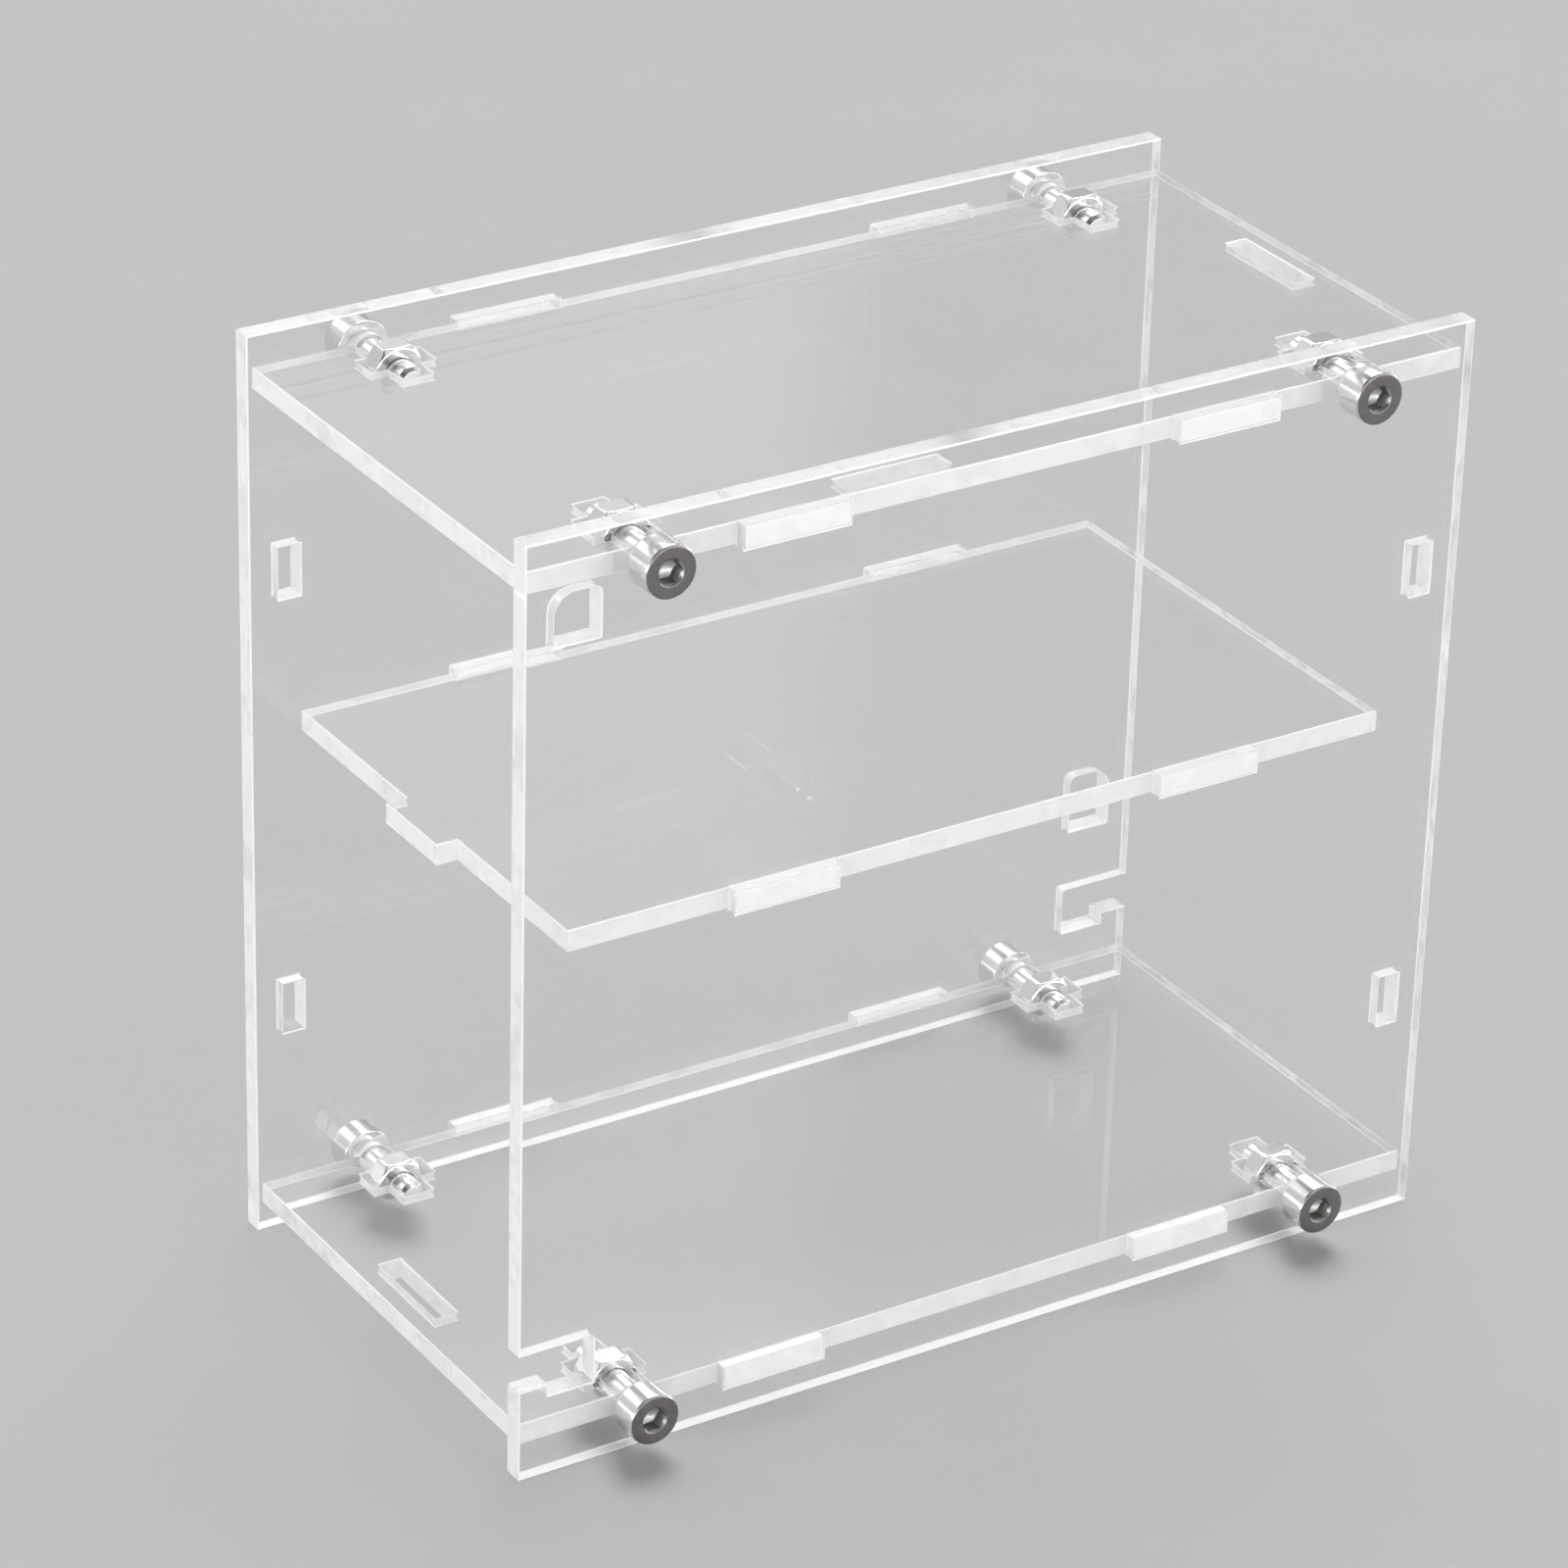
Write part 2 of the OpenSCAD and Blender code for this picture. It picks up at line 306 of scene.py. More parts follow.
def polished_acrylic(settings):
    """Cast acrylic with the maker's polish: clear and glossy, with a trace of haze and a very slow ripple."""
    material, tree, place = new_material("cast_acrylic_polished_face")
    # Wiping marks and dust a few millimetres across leave the gloss a little uneven.
    haze = add(tree, "ShaderNodeTexNoise", {"Vector": place, "Scale": 1 / (4 * MM), "Detail": 4})
    gloss = add(tree, "ShaderNodeMapRange", {
        "Value": haze.outputs["Fac"], "From Min": 0.45, "From Max": 0.75, "To Min": 0.0, "To Max": 0.012})
    # Cast sheet is flat to a few micrometres over a ripple about 20 mm long.
    ripple = add(tree, "ShaderNodeTexNoise", {"Vector": place, "Scale": 1 / (20 * MM), "Detail": 0})
    bump = add(tree, "ShaderNodeBump", {
        "Height": ripple.outputs["Fac"], "Strength": 1, "Distance": 0.004 * MM})
    acrylic_surface(tree, {
        "Base Color": opaque(settings.tint), "Roughness": gloss.outputs["Result"],
        "Transmission Weight": 1, "Normal": bump.outputs["Normal"]}, FACE_FILM)
    return material


def cut_acrylic(settings, name, across, passed):
    """Laser-cut acrylic edge: melted glossy, half frosted by fine streaks that run across the sheet.
    across is the axis of the sheet's thickness, along which the pattern stays the same, and passed the least
    and most share of light that goes through unscattered."""
    material, tree, place = new_material(name)
    along = add(tree, "ShaderNodeMapping", {
        "Vector": place, "Scale": [0 if axis == across else 1 for axis in "XYZ"]}, vector_type="POINT")
    # The laser's pulses leave streaks about 0.1 mm apart, drawn at 0.3 mm so that they show.
    streaks, frost = uneven(tree, along.outputs[0], 0.3 * MM, 1, 0.06, 0.2)
    # Stretches some 8 mm long are clearer where the melt flowed better.
    flow = add(tree, "ShaderNodeTexNoise", {"Vector": place, "Scale": 1 / (8 * MM), "Detail": 2})
    clear = add(tree, "ShaderNodeMapRange", {
        "Value": flow.outputs["Fac"], "From Min": 0.44, "From Max": 0.62,
        "To Min": passed[0], "To Max": passed[1]}, interpolation_type="SMOOTHSTEP")
    bump = add(tree, "ShaderNodeBump", {"Height": streaks, "Strength": 0.2, "Distance": 0.01 * MM})
    acrylic_surface(tree, {
        "Base Color": opaque(settings.edge_colour), "Roughness": frost,
        "Transmission Weight": clear.outputs["Result"], "Normal": bump.outputs["Normal"]}, EDGE_FILM)
    return material


def painted_light_foot(settings):
    """Lower edge that a panel stands on, painted matt white for the light that the sheet pipes down to it."""
    material, tree, place = new_material("acrylic_foot_painted_light")
    # Rubbing leaves scratches about 0.4 mm apart.
    matt = uneven(tree, place, 0.4 * MM, 3, 0.3, 0.5)[1]
    acrylic_surface(tree, {
        "Base Color": opaque(settings.painted_light_white), "Roughness": matt,
        "Transmission Weight": 0.02}, FOOT_FILM)
    return material


def painted_highlight_arris(settings):
    """Rounded corner of a laser cut, painted glossy white as a highlight line that shows from every side."""
    material, tree, place = new_material("acrylic_arris_painted_highlight")
    # The bead's gloss changes about every 2 mm, as the melt ran.
    gloss = uneven(tree, place, 2 * MM, 2, 0.08, 0.2)[1]
    acrylic_surface(tree, {
        "Base Color": opaque(settings.painted_light_white), "Roughness": gloss,
        "Transmission Weight": 0.04}, EDGE_FILM)
    return material


def plated_steel(name, colour, smooth, satin):
    """Bright nickel over formed steel, with the faint uneven satin of a tumbling barrel: its roughness runs
    from smooth to satin."""
    material, tree, place = new_material(name)
    # Tumbling leaves marks a little over a millimetre across.
    tumbled, gloss = uneven(tree, place, 1.2 * MM, 5, smooth, satin)
    bump = add(tree, "ShaderNodeBump", {"Height": tumbled, "Strength": 0.15, "Distance": 0.01 * MM})
    steel_surface(tree, colour, gloss, bump.outputs["Normal"])
    return material


def turned_face(settings):
    """Plating painted darker on the flat faces of the screws' heads, standing in for the dim floor that they
    mirror, with the fine rings that a lathe leaves.
    """
    material, tree, place = new_material("nickel_plated_steel_turned_face_painted_shade")
    # Folding space about the case's middle planes lays every screw's axis on the same line.
    centre = (CAD_BOX[0] + CAD_BOX[1]) / 2
    low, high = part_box(SCREWS[0])
    axis = Vector(map(abs, (low + high) / 2 - centre))
    moved = add(tree, "ShaderNodeVectorMath", {0: place, 1: centre}, operation="SUBTRACT")
    folded = add(tree, "ShaderNodeVectorMath", {0: moved.outputs[0]}, operation="ABSOLUTE")
    local = add(tree, "ShaderNodeMapping", {
        "Vector": folded.outputs[0], "Location": (-axis.x, 0, -axis.z), "Scale": (1, 0, 1)})
    radius = add(tree, "ShaderNodeVectorMath", {0: local.outputs[0]}, operation="LENGTH")
    # A lathe leaves rings about 0.05 mm apart, drawn at 0.25 mm so that they show.
    turns = add(tree, "ShaderNodeMath", {0: radius.outputs["Value"], 1: 2 * math.pi / (0.25 * MM)},
                operation="MULTIPLY")
    rings = add(tree, "ShaderNodeMath", {0: turns.outputs[0]}, operation="SINE")
    # Handling dulls patches some 1.5 mm across.
    gloss = uneven(tree, place, 1.5 * MM, 5, 0.22, 0.34)[1]
    bump = add(tree, "ShaderNodeBump", {"Height": rings.outputs[0], "Strength": 0.25, "Distance": 0.004 * MM})
    steel_surface(tree, settings.head_face, gloss, bump.outputs["Normal"])
    return material


def floor_paper(settings):
    """Matt grey studio paper with a barely visible mottle."""
    material, tree, place = new_material("grey_studio_paper")
    # Paper this size is uneven over some 60 mm.
    mottle = add(tree, "ShaderNodeTexNoise", {"Vector": place, "Scale": 1 / (60 * MM), "Detail": 3})
    shade = add(tree, "ShaderNodeMapRange", {
        "Value": mottle.outputs["Fac"], "To Min": 0.985, "To Max": 1.015})
    colour = add(tree, "ShaderNodeVectorMath", {
        0: tuple(settings.floor), "Scale": shade.outputs["Result"]}, operation="SCALE")
    shader = add(tree, "ShaderNodeBsdfPrincipled", {
        "Base Color": colour.outputs[0], "Roughness": 0.9, "Specular IOR Level": 0.1})
    add(tree, "ShaderNodeOutputMaterial", {"Surface": shader.outputs[0]})
    return material


# Surfaces


def read(items, name, width, kind):
    """Array of one property of all items, with width values each."""
    values = np.empty(len(items) * width, kind)
    items.foreach_get(name, values)
    return values.reshape(-1, width) if width > 1 else values


def build(node, points, faces):
    """Piece that stands for a node, from its points and its bands of faces. Each band is an array with a row
    of point numbers for each face, or a pair of flat point numbers and sizes, with its material and whether
    it is smooth."""
    corners, sizes, numbers, smooth = [], [], [], []
    materials = []
    for band, material, soft in faces:
        flat, size = band if isinstance(band, tuple) else (band.ravel(), np.full(len(band), band.shape[1]))
        if material not in materials:
            materials.append(material)
        corners.append(flat)
        sizes.append(size)
        numbers.append(np.full(len(size), materials.index(material)))
        smooth.append(np.full(len(size), soft))
    sizes = np.concatenate(sizes)
    mesh = bpy.data.meshes.new(node + "_surface")
    mesh.vertices.add(len(points))
    mesh.vertices.foreach_set("co", points.astype(np.float32).ravel())
    mesh.loops.add(int(sizes.sum()))
    mesh.loops.foreach_set("vertex_index", np.concatenate(corners).astype(np.int32))
    mesh.polygons.add(len(sizes))
    mesh.polygons.foreach_set("loop_start", (np.cumsum(sizes) - sizes).astype(np.int32))
    mesh.polygons.foreach_set("material_index", np.concatenate(numbers).astype(np.int32))
    for material in materials:
        mesh.materials.append(material)
    mesh.update(calc_edges=True)
    mesh.set_sharp_from_angle(angle=SHARP_ANGLE)
    mesh.polygons.foreach_set("use_smooth", np.concatenate(smooth))
    piece = bpy.data.objects.new(node + "_dressed", mesh)
    bpy.context.scene.collection.objects.link(piece)
    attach(piece, body_of(frame["nodes"][node])[0])
    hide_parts(node)
    return piece


def merged_mesh(node):
    """Mesh of a node whose loose triangles are joined where they meet, with flat areas as single faces."""
    source = frame["nodes"][node].data
    mesh = bpy.data.meshes.new(node + "_merged")
    mesh.from_pydata(read(source.vertices, "co", 3, np.float32), [],
                     read(source.loops, "vertex_index", 1, np.int32).reshape(-1, 3))
    shell = bmesh.new()
    shell.from_mesh(mesh)
    bmesh.ops.remove_doubles(shell, verts=shell.verts, dist=WELD)
    bmesh.ops.dissolve_limit(shell, angle_limit=FLAT_ANGLE, verts=shell.verts, edges=shell.edges)
    shell.to_mesh(mesh)
    shell.free()
    return mesh


def cut_sheet(node, across, arris, gap, face, edges, bead):
    """Sheet with rounded arrises. Each corner of the node's outline moves in along its mitre, the sum of the
    two walls' normals over one plus their product, by arris times one less the sine of a turn, and down from
    its face by arris times one less its cosine, while the turn runs from nothing to a quarter."""
    mesh = merged_mesh(node)
    axis = "XYZ".index(across)
    points = read(mesh.vertices, "co", 3, np.float32).astype(float)
    corner = read(mesh.loops, "vertex_index", 1, np.int32)
    size = read(mesh.polygons, "loop_total", 1, np.int32)
    start = read(mesh.polygons, "loop_start", 1, np.int32)
    normal = read(mesh.polygons, "normal", 3, np.float32).astype(float)
    bpy.data.meshes.remove(mesh)

    wall = np.abs(normal[:, axis]) < FACING
    owner = np.repeat(np.arange(len(size)), size)
    ahead = np.arange(len(corner)) + 1
    ahead[start + size - 1] = start
    low, high = points[:, axis].min(), points[:, axis].max()
    side = np.where(points[:, axis] > (low + high) / 2, 1, -1)
    rim = wall[owner] & (side[corner] == side[corner[ahead]])
    begin, end, out = corner[rim], corner[ahead][rim], normal[owner[rim]]
    before, after = np.zeros_like(points), np.zeros_like(points)
    after[begin] = out
    before[end] = out
    mitre = (before + after) / (1 + np.sum(before * after, axis=1))[:, None]

    inner = [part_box("front_panel")[1].y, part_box("back_panel")[0].y]
    if axis != 1:
        for contact, way in zip(inner, (1, -1)):
            points[np.abs(points[:, 1] - contact) < CONTACT, 1] += way * gap
    rings = []
    turns = np.radians([0, 30, 60, 90])
    for turn in turns:
        ring = points - mitre * arris * (1 - math.sin(turn))
        ring[:, axis] -= side * arris * (1 - math.cos(turn))
        rings.append(ring)
    count = len(points)
    last = (len(turns) - 1) * count
    arrises = [
        np.stack([end + count * (k + 1), begin + count * (k + 1), begin + count * k, end + count * k], axis=1)
        for k in range(len(turns) - 1)
    ]
    kinds = {"end": np.abs(normal[:, 0]) > FACING, "top": normal[:, 2] > FACING}
    kinds["foot"] = (points[corner[start], 2] < CAD_BOX[0].z + arris) & (normal[:, 2] < -FACING)
    kinds["long"] = ~(kinds["end"] | kinds["top"] | kinds["foot"])
    walls = [(wall & kind, edges[name]) for name, kind in kinds.items() if name in edges]
    build(node, np.concatenate(rings), [
        ((corner[~wall[owner]], size[~wall]), face, False),
        *(((corner[kind[owner]] + last, size[kind]), edge, True) for kind, edge in walls),
        (np.concatenate(arrises), bead, False),
    ])


def rounded(profile, reach, steps=5):
    """Profile with soft corners: each row's corner becomes a parabola that leaves the line from the row
    before, reach short of the corner, and joins the line to the row after as far past it. It takes up no
    more than 0.45 of the shorter line."""
    corner = profile[1:-1]
    before = profile[:-2] - corner
    after = profile[2:] - corner
    far = [np.linalg.norm(line, axis=2, keepdims=True) for line in (before, after)]
    short = np.minimum(np.asarray(reach)[:, None, None], 0.45 * np.minimum(*far))
    enter = corner + before / far[0] * short
    leave = corner + after / far[1] * short
    share = np.linspace(0, 1, steps + 1)[None, :, None, None]
    bend = (1 - share) ** 2 * enter[:, None]
    bend = bend + 2 * share * (1 - share) * corner[:, None]
    bend = bend + share**2 * leave[:, None]
    return bend.reshape(-1, *profile.shape[1:])


def hexagon(turn, flats, soft):
    """Radius of a hexagon at each turn from a corner, half the flats' width over the cosine of the turn from
    the nearest flat's middle, held soft short of the corners."""
    radius = flats / 2 / np.cos(turn % (math.pi / 3) - math.pi / 6)
    return np.minimum(radius, flats / math.sqrt(3) - soft)


def lathe(profile, turn, origin, out):
    """Points of a profile of radius and height carried round an axis: the radius times the turn's cosine goes
    along X and times its sine along Z, and the height along Y, outwards."""
    radius, height = profile[..., 0], profile[..., 1]
    return np.stack([
        origin.x + radius * np.cos(turn),
        origin.y + out * height,
        origin.z + radius * np.sin(turn),
    ], axis=-1).reshape(-1, 3)


def bands(rows, columns, closed, out):
    """Point numbers of the quads between neighbouring rows, one array for each band, facing outwards. If
    closed, one more band joins the last row to the first."""
    here = np.arange(columns)
    there = np.roll(here, -1)
    made = []
    for row in range(rows if closed else rows - 1):
        low, high = row * columns, (row + 1) % rows * columns
        quad = np.stack([low + here, low + there, high + there, high + here], axis=1)
        made.append(quad if out > 0 else quad[:, ::-1])
    return made


def columns(count):
    """Turns round an axis: count even steps, with one more close to each side of a hexagon's corners."""
    corners = np.arange(6) * math.pi / 3
    near = math.radians(1)
    turns = np.concatenate([np.arange(count) * 2 * math.pi / count, corners - near, corners + near])
    return np.unique(np.round(turns % (2 * math.pi), 6))


def stack(turn, rows):
    """Profile with a radius and a height for each row and turn."""
    pairs = [np.broadcast_arrays(radius + 0 * turn, height) for radius, height in rows]
    return np.stack([np.stack(pair, axis=-1) for pair in pairs])


def flatten_shading(piece):
    """Keep wide faces flat to the eye beside their small roundings."""
    normals = piece.modifiers.new("flat_faces", "WEIGHTED_NORMAL")
    normals.weight = 100


def make_screw(node, settings, plating, shank_plating, socket, face):
    """Socket-head screw, lathed from the bottom of its socket to its tip. The socket's walls keep the
    hexagon's radius at each turn, and the countersink drops from its mouth by as much as it narrows."""
    low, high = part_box(node)
    out = 1 if low.y + high.y > 0 else -1
    length = high.y - low.y - settings.head_h
    seat = (high.y if out > 0 else low.y) - out * settings.head_h
    turn = columns(ROUND_STEPS)
    walls = hexagon(turn, settings.socket_af, SOCKET_SOFT)
    mouth = settings.socket_af / math.sqrt(3) + settings.sink
    floor = settings.head_h - settings.socket_depth
    drilled = settings.socket_af / 2
    top, wide, shank = settings.head_h, settings.head_d / 2, settings.shank_d / 2
    profile = stack(turn, [
        (0, floor - drilled * SLOPE),
        (DRILL_SHARE * drilled, floor),
        (walls, floor),
        (walls, top - mouth + walls),
        (mouth, top),
        (wide, top),
        (wide, settings.seat_gap),
        (shank, settings.seat_gap),
        (shank, settings.tip - length),
        (shank - settings.tip, -length),
        (0, -length),
    ])
    rim_corner = 4
    reach = np.full(len(profile) - 2, settings.arris)
    reach[rim_corner] = settings.rim
    body = rounded(profile, reach)
    poles = np.array([(0, profile[0, 0, 1]), (0, profile[-1, 0, 1])])[:, None]
    origin = Vector(((low.x + high.x) / 2, seat, (low.z + high.z) / 2))
    count = len(turn)
    points = np.concatenate([
        lathe(body, turn, origin, out), lathe(poles, np.zeros(1), origin, out)])
    strips = bands(len(body), count, False, out)
    # The turned face, plating painted darker for the dim floor that it mirrors, runs from the socket's mouth
    # to two steps over the rim. The shank starts past the seat.
    per_corner = len(body) // len(reach)
    mouth_row, rim_row, seat_row = 3 * per_corner, rim_corner * per_corner + 2, 6 * per_corner
    kinds = np.repeat(range(4), np.diff([0, mouth_row, rim_row, seat_row, len(strips)]))
    first, last = np.arange(count), np.arange(count) + (len(body) - 1) * count
    ends = [
        np.stack([np.full(count, len(body) * count), np.roll(first, -1), first], axis=1),
        np.stack([last, np.roll(last, -1), np.full(count, len(body) * count + 1)], axis=1),
    ]
    # The socket's plating is painted darker as the shade inside its recess, and it is also rougher.
    finish = (socket, face, plating, shank_plating)
    faces = [(strip, finish[kind], True) for strip, kind in zip(strips, kinds)]
    for end, material in zip(ends, (socket, shank_plating)):
        faces.append((end if out > 0 else end[:, ::-1], material, True))
    flatten_shading(build(node, points, faces))


def make_nut(node, settings, plating, dull_and_shaded):
    """Hex nut, a closed profile carried round the axis. Its sides keep the hexagon's radius at each turn, and
    a bevel at 30 degrees drops from a circle inside the flats, so that it scallops each side."""
    low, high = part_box(node)
    out = 1 if low.y + high.y > 0 else -1
    height = high.y - low.y
    turn = columns(ROUND_STEPS)
    sides = hexagon(turn, settings.nut_af, NUT_SOFT)
    circle = NUT_END_SHARE * settings.nut_af / 2
    drop = (sides - circle) * SLOPE
    bore = settings.bore_d / 2
    profile = stack(turn, [
        (circle, 0),
        (sides, -drop),
        (sides, drop - height),
        (circle, -height),
        (bore + BORE_BEVEL, -height),
        (bore, BORE_BEVEL - height),
        (bore, -BORE_BEVEL),
        (bore + BORE_BEVEL, 0),
    ])
    ring = np.concatenate([profile[-1:], profile, profile[:1]])
    body = rounded(ring, np.full(len(profile), settings.arris))
    origin = Vector(((low.x + high.x) / 2, high.y if out > 0 else low.y, (low.z + high.z) / 2))
    strips = bands(len(body), len(turn), True, out)
    per_corner = len(body) // len(profile)
    end_rows = (4 * per_corner - 1, 8 * per_corner - 1)
    faces = [(strip, dull_and_shaded if row in end_rows else plating, True) for row, strip in enumerate(strips)]
    flatten_shading(build(node, lathe(body, turn, origin, out), faces))


# Steps


class CASE_OT_sheets(bpy.types.Operator):
    """Make the five clear sheets with polished faces and laser-cut edges"""

    bl_idname = "display_case.sheets"
    bl_label = "Clear Sheets"

    def execute(self, context):
        settings = context.scene.case_sheets
        face = polished_acrylic(settings)
        bead = painted_highlight_arris(settings)
        upright = {
            "end": cut_acrylic(settings, "laser_cut_acrylic_panel_end", "Y", settings.panel_end),
            "long": cut_acrylic(settings, "laser_cut_acrylic_panel_edge", "Y", settings.long_edge),
            "top": cut_acrylic(settings, "laser_cut_acrylic_panel_top", "Y", settings.top_edge),
            "foot": painted_light_foot(settings),
        }
        lying = {
            "end": cut_acrylic(settings, "laser_cut_acrylic_deck_end", "Z", settings.deck_end),
            "long": cut_acrylic(settings, "laser_cut_acrylic_deck_edge", "Z", settings.long_edge),
        }
        for nodes, across, edges in ((UPRIGHT_SHEETS, "Y", upright), (LYING_SHEETS, "Z", lying)):
            for node in nodes:
                cut_sheet(node, across, settings.arris, settings.air_gap, face, edges, bead)
        return {"FINISHED"}


class CASE_OT_screws(bpy.types.Operator):
    """Make the eight socket-head screws in bright plating, with turned faces and sockets painted darker as
    shade
    """

    bl_idname = "display_case.screws"
    bl_label = "Screws"

    def execute(self, context):
        settings = context.scene.case_steel
        plating = plated_steel("nickel_plated_steel_head", settings.plating, smooth=0.14, satin=0.22)
        shank = plated_steel("nickel_plated_steel_shank", settings.shank, smooth=0.18, satin=0.28)
        socket = plated_steel("nickel_plated_steel_socket_painted_shade", settings.dull_and_shaded, smooth=0.25, satin=0.4)
        face = turned_face(settings)
        for node in SCREWS:
            make_screw(node, settings, plating, shank, socket, face)
        return {"FINISHED"}


class CASE_OT_nuts(bpy.types.Operator):
    """Make the eight captive nuts in bright plating"""

    bl_idname = "display_case.nuts"
    bl_label = "Nuts"

    def execute(self, context):
        settings = context.scene.case_steel
        plating = plated_steel("nickel_plated_steel_nut", settings.shank, smooth=0.06, satin=0.12)
        # The ends take the heads' plating, a touch darker than the sides as painted shade, in a rougher
        # finish.
        dull_and_shaded = plated_steel("nickel_plated_steel_nut_end", settings.plating, smooth=0.2, satin=0.3)
        for node in NUTS:
            make_nut(node, settings, plating, dull_and_shaded)
        return {"FINISHED"}


# Stage


# Soft boxes round the case: the way to each one, the cosines at which its glow starts and is full, its glow,
# and whether it hangs low, so that it lights upright edges more than the floor.
SOFTBOXES = {
    "over the back on the right": ((0.38, 0.48, 0.79), 0.93, 0.985, 8.4, False),
    "over the back on the left": ((-0.33, 0.75, 0.58), 0.965, 0.99, 0.9, False),
    "left": ((-0.95, -0.1, 0), 0.5, 0.95, 6.6, True),
    "right": ((0.95, -0.15, 0), 0.5, 0.95, 3.7, True),
    "front": ((0.1, -1, 0), 0.5, 0.95, 6.4, True),
}


def toward_camera(settings):
    """Unit way from the aim to the camera: round the case by azimuth, then up by elevation."""
    turn, lift = settings.azimuth, settings.elevation
    return Vector((math.sin(turn) * math.cos(lift), -math.cos(turn) * math.cos(lift), math.sin(lift)))


def studio_sky(settings):
    """World of a pale studio: the floor's grey at the horizon, a pale wall above it that is darker behind the
    case on the right, a dark ceiling, and the soft boxes."""
    world = bpy.data.worlds.new("studio")
    world.use_nodes = True
    tree = world.node_tree
    tree.nodes.clear()
    way = add(tree, "ShaderNodeTexCoord").outputs["Generated"]
    parts = add(tree, "ShaderNodeSeparateXYZ", {0: way})
    soft = {"interpolation_type": "SMOOTHSTEP"}
    rise = add(tree, "ShaderNodeMapRange", {
        "Value": parts.outputs["Z"], "From Min": 0.06, "From Max": 0.3}, **soft)
    wall = add(tree, "ShaderNodeMix", {
        0: rise.outputs["Result"], 6: opaque(settings.floor), 7: opaque(settings.wall)}, data_type="RGBA")
    ceiling = add(tree, "ShaderNodeMapRange", {
        "Value": parts.outputs["Z"], "From Min": 0.5, "From Max": 0.8, "To Min": 1, "To Max": 0.3}, **soft)
    # The wall behind the case is darker past an upright line, which the sheets mirror.
    edge = math.radians(33.1)
    beyond = add(tree, "ShaderNodeVectorMath", {
        0: way, 1: (math.cos(edge), -math.sin(edge), 0)}, operation="DOT_PRODUCT")
    line = add(tree, "ShaderNodeMapRange", {
        "Value": beyond.outputs["Value"], "From Min": -0.012, "From Max": 0.012}, **soft)
    behind = add(tree, "ShaderNodeMapRange", {
        "Value": parts.outputs["Y"], "From Min": 0.1, "From Max": 0.4, "To Min": 0, "To Max": 0.35}, **soft)
    dim = add(tree, "ShaderNodeMath", {
        0: line.outputs["Result"], 1: behind.outputs["Result"]}, operation="MULTIPLY")
    kept = add(tree, "ShaderNodeMath", {0: 1, 1: dim.outputs[0]}, operation="SUBTRACT")
    shade = add(tree, "ShaderNodeMath", {
        0: ceiling.outputs["Result"], 1: kept.outputs[0]}, operation="MULTIPLY")
    light = add(tree, "ShaderNodeVectorMath", {
        0: wall.outputs[2], "Scale": shade.outputs[0]}, operation="SCALE")
    under = add(tree, "ShaderNodeMapRange", {
        "Value": parts.outputs["Z"], "From Min": 0.02, "From Max": 0.2, "To Min": 1, "To Max": 0}, **soft)
    for toward, start, full, glow, low in SOFTBOXES.values():
        facing = add(tree, "ShaderNodeVectorMath", {
            0: way, 1: Vector(toward).normalized()}, operation="DOT_PRODUCT")
        glowing = add(tree, "ShaderNodeMapRange", {
            "Value": facing.outputs["Value"], "From Min": start, "From Max": full,
            "To Min": 0, "To Max": glow}, **soft)
        if low:
            glowing = add(tree, "ShaderNodeMath", {
                0: glowing.outputs[0], 1: under.outputs[0]}, operation="MULTIPLY")
        light = add(tree, "ShaderNodeVectorMath", {
            0: light.outputs[0], 1: glowing.outputs[0]}, operation="ADD")
    # The room behind the camera is unlit, which leaves thin dark lines in the bright metal.
    facing = add(tree, "ShaderNodeVectorMath", {
        0: way, 1: toward_camera(settings)}, operation="DOT_PRODUCT")
    unlit = add(tree, "ShaderNodeMapRange", {
        "Value": facing.outputs["Value"], "From Min": 0.9, "From Max": 0.96,
        "To Min": 1, "To Max": 0.12}, **soft)
    light = add(tree, "ShaderNodeVectorMath", {
        0: light.outputs[0], "Scale": unlit.outputs["Result"]}, operation="SCALE")
    sky = add(tree, "ShaderNodeBackground", {"Color": light.outputs[0]})
    add(tree, "ShaderNodeOutputWorld", {"Surface": sky.outputs[0]})
    return world


def place_camera(settings):
    """Camera at a distance from its aim, rolled about its line of sight."""
    back = toward_camera(settings)
    data = bpy.data.cameras.new("camera")
    data.lens = settings.lens
    camera = bpy.data.objects.new("camera", data)
    straight = back.to_track_quat("Z", "Y").to_matrix().to_4x4()
    rolled = straight @ Matrix.Rotation(settings.roll, 4, "Z")
    camera.matrix_world = Matrix.Translation(Vector(settings.aim) + back * settings.distance) @ rolled
    return camera


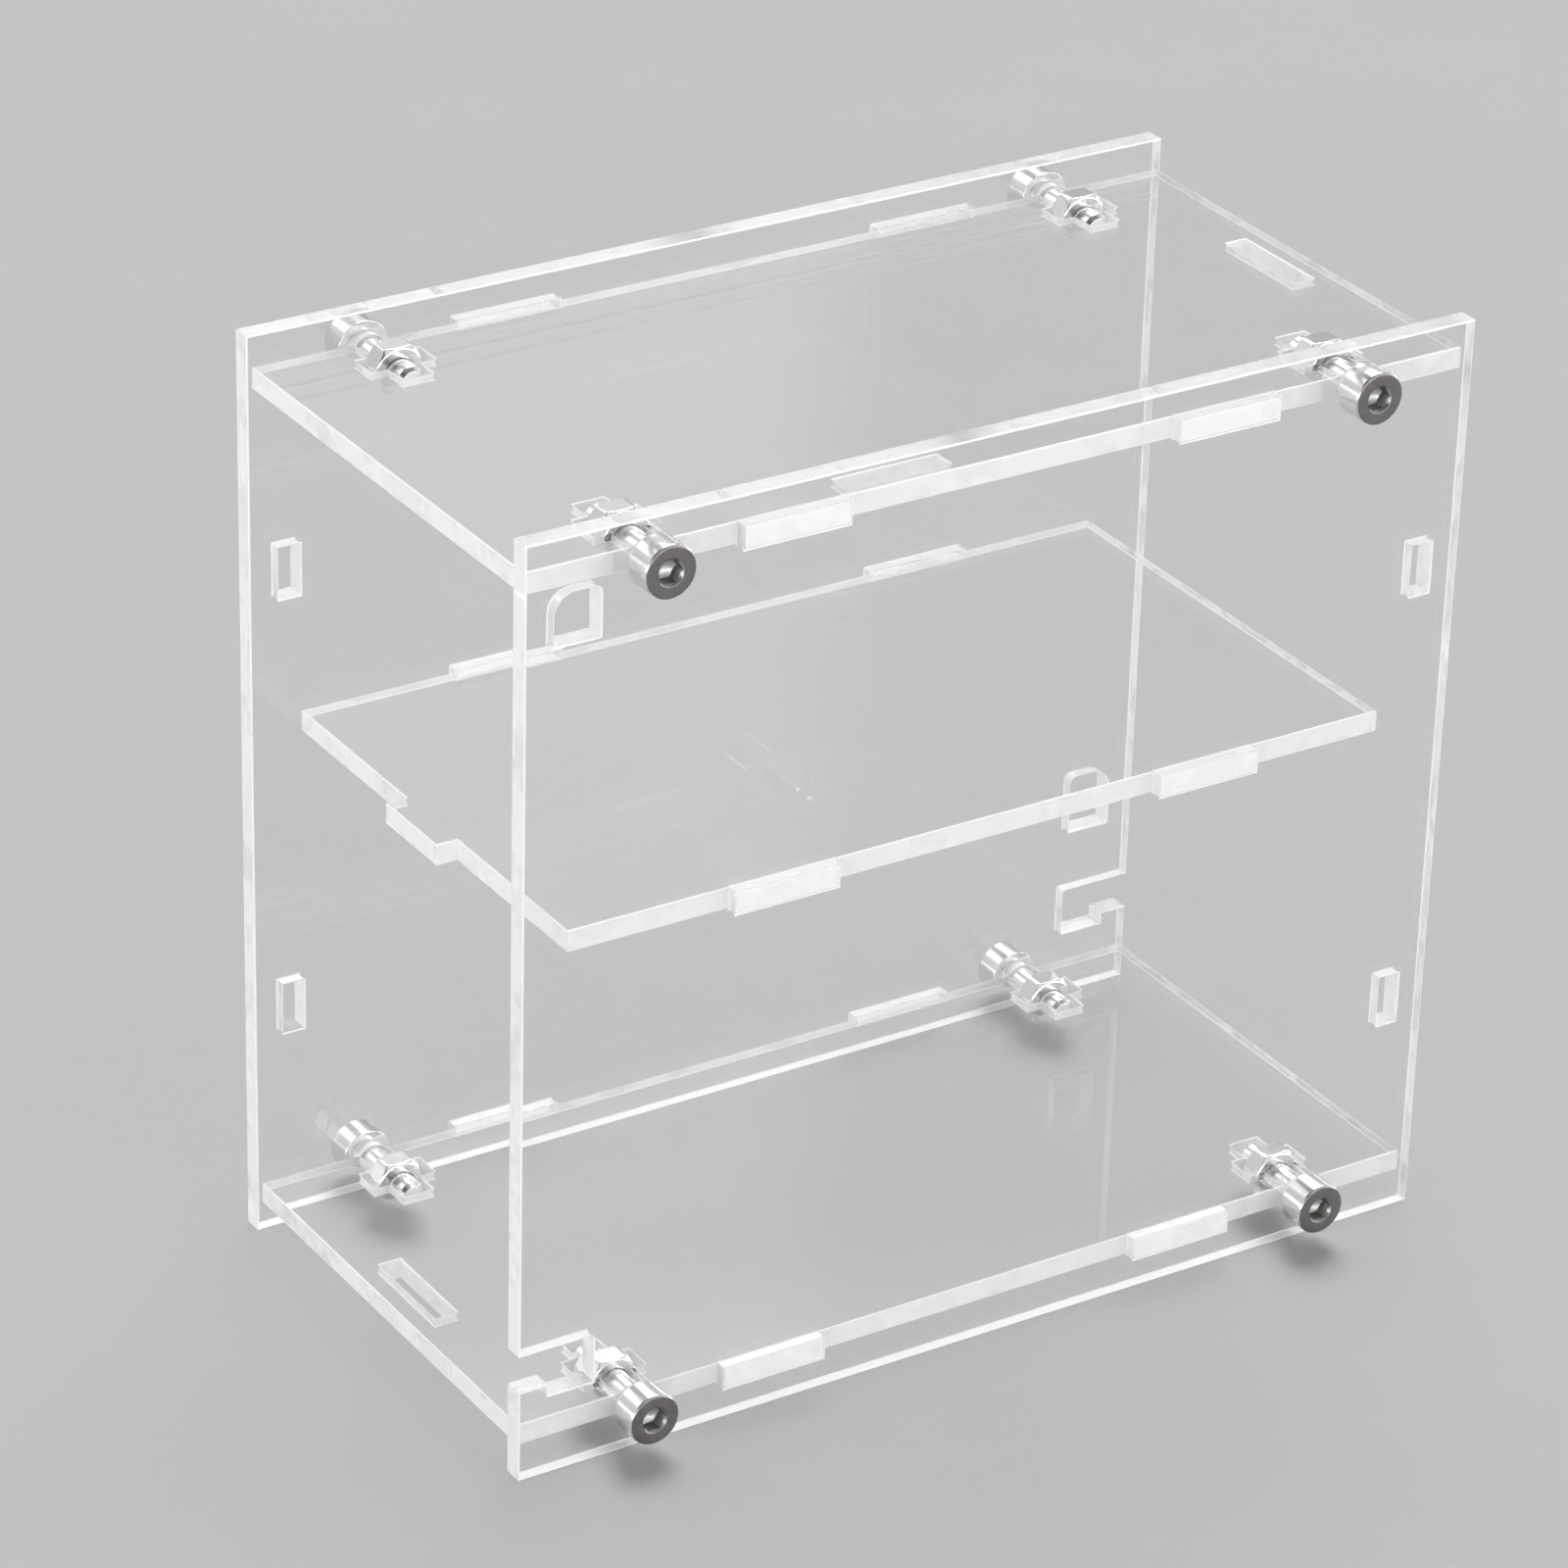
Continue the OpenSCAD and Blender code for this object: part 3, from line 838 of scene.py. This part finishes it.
class CASE_OT_stage(bpy.types.Operator):
    """Set up the grey floor, the studio light and the camera"""

    bl_idname = "display_case.stage"
    bl_label = "Stage"

    def execute(self, context):
        settings = context.scene.case_stage
        scene = context.scene
        scene.view_settings.view_transform = "Standard"
        scene.cycles.max_bounces = BOUNCES
        scene.cycles.transmission_bounces = BOUNCES
        scene.cycles.glossy_bounces = BOUNCES
        scene.cycles.transparent_max_bounces = PASSED_FACES
        half = settings.floor_side / 2
        corners = np.array([(-1, -1, 0), (1, -1, 0), (1, 1, 0), (-1, 1, 0)]) * half
        corners[:, 2] = CAD_BOX[0].z - settings.floor_gap
        mesh = bpy.data.meshes.new("floor")
        mesh.from_pydata(corners, [], [(0, 1, 2, 3)])
        mesh.materials.append(floor_paper(settings))
        floor = bpy.data.objects.new("floor", mesh)
        scene.collection.objects.link(floor)
        scene.world = studio_sky(settings)
        camera = place_camera(settings)
        scene.collection.objects.link(camera)
        scene.camera = camera
        return {"FINISHED"}


class CASE_PT_panel(bpy.types.Panel):
    """Steps that dress the display case"""

    bl_label = "Display Case"
    bl_idname = "CASE_PT_panel"
    bl_space_type = "VIEW_3D"
    bl_region_type = "UI"
    bl_category = "Display Case"

    def draw(self, context):
        for operator in OPERATORS:
            self.layout.operator(operator.bl_idname)
        for name in SETTINGS:
            box = self.layout.box()
            group = getattr(context.scene, name)
            for value in group.bl_rna.properties:
                if value.identifier not in ("rna_type", "name"):
                    box.prop(group, value.identifier)


OPERATORS = (CASE_OT_sheets, CASE_OT_screws, CASE_OT_nuts, CASE_OT_stage)
SETTINGS = {"case_sheets": SheetSettings, "case_steel": SteelSettings, "case_stage": StageSettings}


def register():
    """Make the settings, steps and panel known to Blender."""
    for group in SETTINGS.values():
        bpy.utils.register_class(group)
    for name, group in SETTINGS.items():
        setattr(bpy.types.Scene, name, bpy.props.PointerProperty(type=group))
    for made in (*OPERATORS, CASE_PT_panel):
        bpy.utils.register_class(made)


def unregister():
    """Take them away again."""
    for made in (CASE_PT_panel, *reversed(OPERATORS)):
        bpy.utils.unregister_class(made)
    for name in SETTINGS:
        delattr(bpy.types.Scene, name)
    for group in SETTINGS.values():
        bpy.utils.unregister_class(group)


def main():
    """Dress the case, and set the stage."""
    register()
    bpy.ops.display_case.sheets()
    bpy.ops.display_case.screws()
    bpy.ops.display_case.nuts()
    bpy.ops.display_case.stage()


if __name__ == "__main__":
    main()
